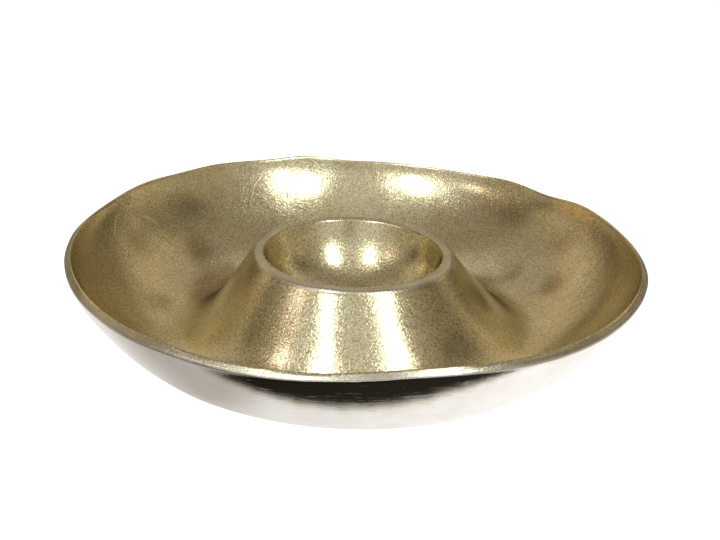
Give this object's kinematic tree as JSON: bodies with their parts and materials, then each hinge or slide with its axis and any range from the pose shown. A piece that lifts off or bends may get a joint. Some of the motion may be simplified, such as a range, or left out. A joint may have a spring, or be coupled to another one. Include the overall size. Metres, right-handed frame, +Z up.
{
  "type": "chip and dip server",
  "caption": "Round cast metal serving bowl with a raised dip cup in the middle of a wide trough for chips.",
  "frame": {"origin": "on the table, under the middle of the bowl's outline", "axes": "+Z up, the shortest way through the bowl; -Y towards the viewer"},
  "size_m": [0.38, 0.38, 0.0714],
  "materials": {
    "cast_metal": "champagne gold, sand-cast and lacquered inside, polished outside",
    "foot_felt": "dark felt"
  },
  "bodies": {
    "root": {"server_casting": "cast_metal", "foot_pad_1": "foot_felt", "foot_pad_2": "foot_felt", "foot_pad_3": "foot_felt", "foot_pad_4": "foot_felt"}
  },
  "joints": []
}
